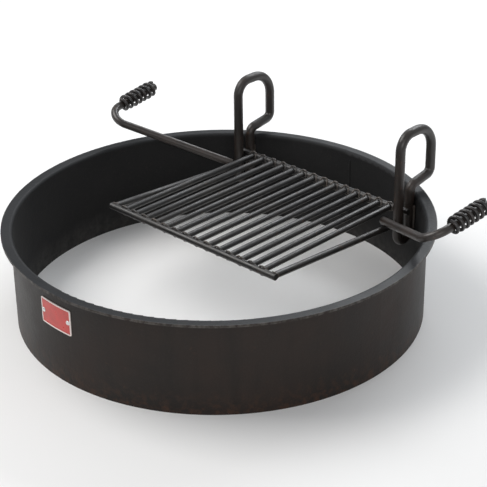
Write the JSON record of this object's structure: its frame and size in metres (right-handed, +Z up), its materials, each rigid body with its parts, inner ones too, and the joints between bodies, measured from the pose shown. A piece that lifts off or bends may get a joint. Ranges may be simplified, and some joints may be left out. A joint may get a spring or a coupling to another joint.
{
  "type": "fire pit with grate",
  "caption": "Round open steel fire ring with an outward top flange, two rod loops at the back and a cooking grate that lifts and tilts on them by spring-gripped side handles.",
  "frame": {"origin": "on the ring's axis, at the ground", "axes": "+Z up, +Y towards the two support loops at the back, +X to the cook's right"},
  "size_m": [0.8923, 0.8128, 0.3245],
  "materials": {
    "ring_steel": "heat-darkened black coating with a faint rust tint",
    "loop_steel": "brown-black satin bar steel",
    "grate_steel": "seasoned black bar steel",
    "handle_steel": "brown-black satin bar steel",
    "grip_wire": "black spring wire",
    "plate_enamel": "red enamel with a plain pale border",
    "rivet_metal": "bright dome heads"
  },
  "bodies": {
    "fire_ring": {"fire_ring": "ring_steel", "support_loop_left": "loop_steel", "support_loop_right": "loop_steel", "name_plate": "plate_enamel", "name_plate_rivets": "rivet_metal"},
    "lift_bar": {"rear_crossbar": "grate_steel"},
    "grate": {"front_crossbar": "grate_steel", "side_bar_left": "grate_steel", "side_bar_right": "grate_steel", "handle_rod_left": "handle_steel", "handle_rod_right": "handle_steel", "spring_grip_left": "grip_wire", "spring_grip_right": "grip_wire", "grate_bar_01": "grate_steel", "grate_bar_02": "grate_steel", "grate_bar_03": "grate_steel", "grate_bar_04": "grate_steel", "grate_bar_05": "grate_steel", "grate_bar_06": "grate_steel", "grate_bar_07": "grate_steel", "grate_bar_08": "grate_steel", "grate_bar_09": "grate_steel", "grate_bar_10": "grate_steel", "grate_bar_11": "grate_steel", "grate_bar_12": "grate_steel", "grate_bar_13": "grate_steel", "grate_bar_14": "grate_steel"}
  },
  "joints": [
    {"name": "grate_lift", "type": "slide", "parent": "fire_ring", "child": "lift_bar", "axis": [0, 0, 1], "range_m": [-0.012, 0.1]},
    {"name": "grate_tilt", "type": "hinge", "parent": "lift_bar", "child": "grate", "pos_m": [0, 0.29158, 0.1575], "axis": [-1, 0, 0], "range_deg": [0, 45]}
  ]
}
